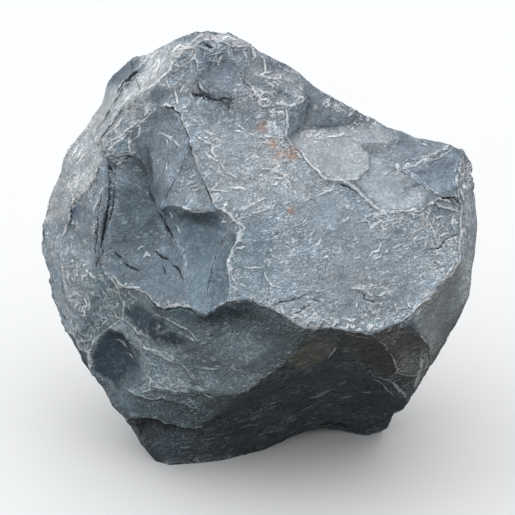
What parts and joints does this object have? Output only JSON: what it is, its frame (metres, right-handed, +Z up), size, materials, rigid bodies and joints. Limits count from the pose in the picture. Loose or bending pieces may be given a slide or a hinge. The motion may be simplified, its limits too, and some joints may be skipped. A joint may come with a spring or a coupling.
{
  "type": "landscape boulder",
  "caption": "Broken blue-grey slate boulder with large fracture faces, an undercut front and a flat base to rest on the ground.",
  "frame": {"origin": "centre of the bounding box's bottom, on the plane of the flat base", "axes": "+Z up from the ground, front face towards -Y, +X to the right as seen from the front"},
  "size_m": [0.5806, 0.4558, 0.593],
  "materials": {
    "slate": "matte"
  },
  "bodies": {
    "root": {"boulder": "slate"}
  },
  "joints": []
}
